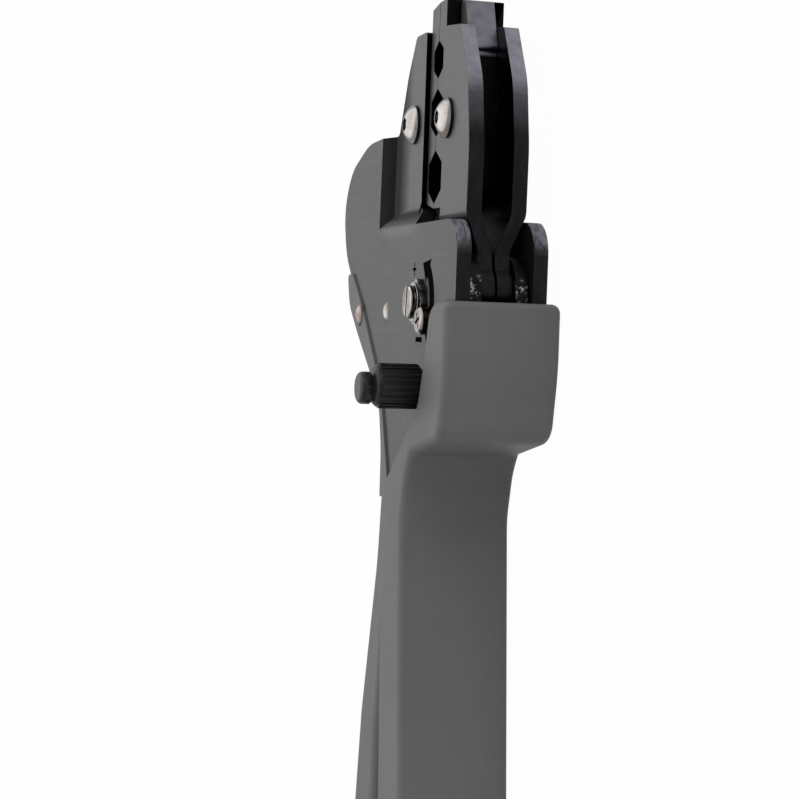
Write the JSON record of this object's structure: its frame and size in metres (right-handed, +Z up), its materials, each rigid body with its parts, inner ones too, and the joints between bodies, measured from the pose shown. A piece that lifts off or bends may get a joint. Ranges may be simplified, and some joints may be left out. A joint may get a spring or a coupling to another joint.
{
  "type": "coaxial crimping tool",
  "caption": "Ratchet hand crimper with hexagonal dies, adjustable pivot, release knob and two moulded grips.",
  "frame": {"origin": "bottom centre of the bounding box, on the surface the tool lies on", "axes": "+Y towards the tip of the dies, +X towards the moving handle, +Z up out of the adjuster side"},
  "size_m": [0.0928, 0.2278, 0.0336],
  "materials": {
    "black_oxide_steel": "satin",
    "die_steel": "satin",
    "nickel_plate": "polished",
    "spring_steel": "satin",
    "knob_plastic": "matte",
    "grip_plastic": "matte"
  },
  "bodies": {
    "frame": {"frame_plate_left": "black_oxide_steel", "frame_plate_right": "black_oxide_steel", "fixed_die": "die_steel", "fixed_die_screw": "nickel_plate", "fixed_die_nut": "nickel_plate", "main_pivot_pin": "nickel_plate", "pivot_spacers": "nickel_plate", "adjuster_star_wheel": "black_oxide_steel", "pivot_cap_screw": "nickel_plate", "adjuster_lock_screw": "nickel_plate", "toggle_frame_pin": "black_oxide_steel", "rear_rivet": "nickel_plate", "rear_rivet_sleeve": "black_oxide_steel", "small_rivet": "nickel_plate", "small_rivet_sleeve": "black_oxide_steel", "return_spring": "spring_steel", "pawl_spring": "spring_steel", "fixed_grip": "grip_plastic"},
    "moving_jaw": {"jaw_plate_left": "black_oxide_steel", "jaw_plate_right": "black_oxide_steel", "moving_die": "die_steel", "moving_die_screw": "nickel_plate", "moving_die_nut": "nickel_plate", "spring_stud": "black_oxide_steel"},
    "handle": {"handle_arm_left": "black_oxide_steel", "handle_arm_right": "black_oxide_steel", "jaw_handle_pin": "nickel_plate", "knee_pin": "nickel_plate", "moving_grip": "grip_plastic"},
    "link": {"toggle_link": "black_oxide_steel", "ratchet_sector": "die_steel", "sector_rivets": "nickel_plate"},
    "pawl": {"ratchet_pawl": "die_steel", "knob_shaft": "nickel_plate", "knob_washer": "black_oxide_steel", "release_knob": "knob_plastic", "knob_cap": "knob_plastic"}
  },
  "joints": [
    {"name": "handle_swing", "type": "hinge", "parent": "moving_jaw", "child": "handle", "pos_m": [0.03585, 0.0569, 0.0114], "axis": [0, 0, 1], "range_deg": [0, 52.5]},
    {"name": "jaw_swing", "type": "hinge", "parent": "frame", "child": "moving_jaw", "pos_m": [0.02075, 0.0545, 0.0114], "axis": [0, 0, 1], "range_deg": [-18.1, 0], "deforming": ["return_spring"]},
    {"name": "link_swing", "type": "hinge", "parent": "frame", "child": "link", "pos_m": [0.01035, 0.0221, 0.0114], "axis": [0, 0, 1], "range_deg": [-19, 0]},
    {"name": "pawl_release", "type": "hinge", "parent": "frame", "child": "pawl", "pos_m": [0.02465, 0.0381, 0.0114], "axis": [0, 0, 1], "range_deg": [-22, 0], "stiffness_Nm_per_rad": 0.02, "deforming": ["pawl_spring"]}
  ],
  "couplings": [
    {"joint": "jaw_swing", "follows": "handle_swing", "ratio": -0.342},
    {"joint": "link_swing", "follows": "handle_swing", "ratio": -0.359}
  ]
}
